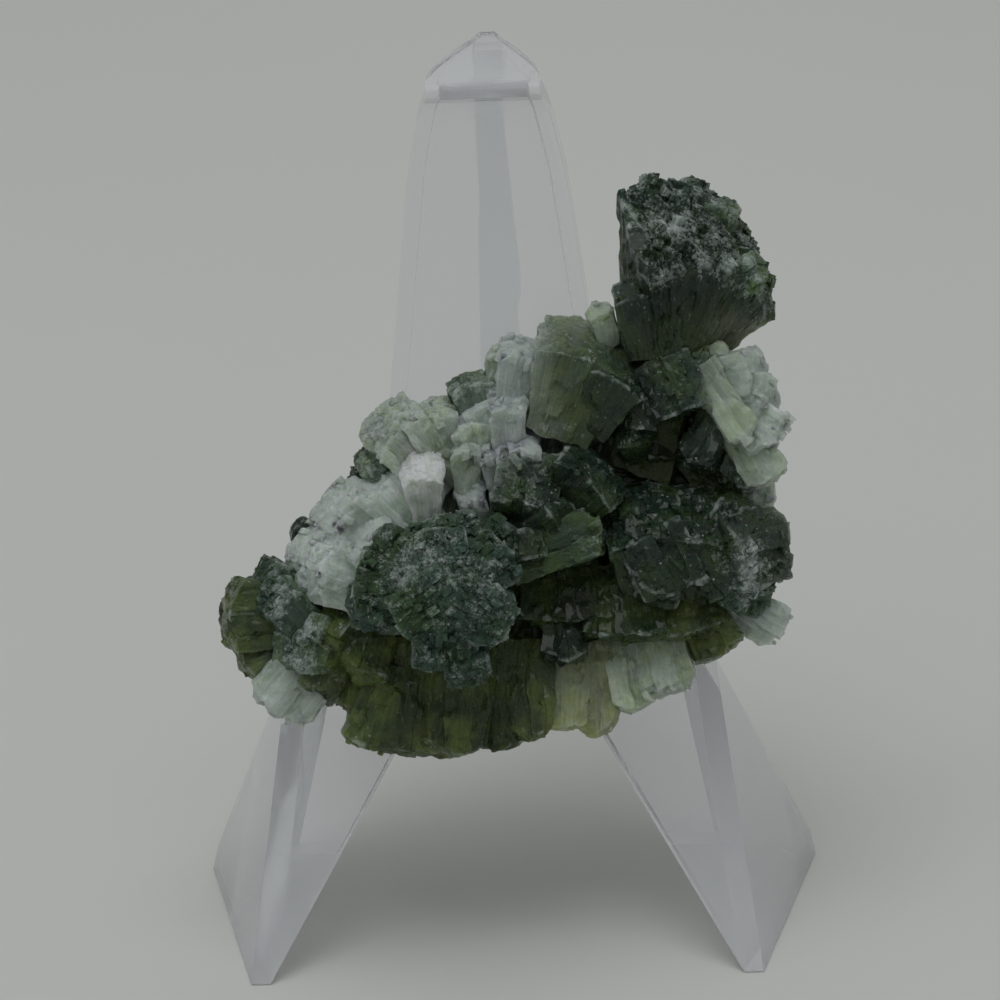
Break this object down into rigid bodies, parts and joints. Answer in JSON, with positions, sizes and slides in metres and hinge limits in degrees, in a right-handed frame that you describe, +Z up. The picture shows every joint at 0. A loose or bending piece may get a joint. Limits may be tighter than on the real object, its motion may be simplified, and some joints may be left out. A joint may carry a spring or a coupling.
{
  "type": "prehnite crystal cluster on easel",
  "caption": "Rough prehnite cluster of intergrown sheaf-like crystals, resting on a small clear plastic display easel.",
  "frame": {"origin": "middle of the footprint, on the surface that the easel stands on", "axes": "+Z up, +X to the right of someone who looks at the showing side, +Y away from that person"},
  "size_m": [0.0504, 0.053, 0.0637],
  "materials": {
    "prehnite": "glassy crystal faces with frosty, snow-white crowns",
    "clear_plastic": "clear, polished moulding"
  },
  "bodies": {
    "root": {"prehnite": "prehnite", "easel": "clear_plastic"}
  },
  "joints": []
}
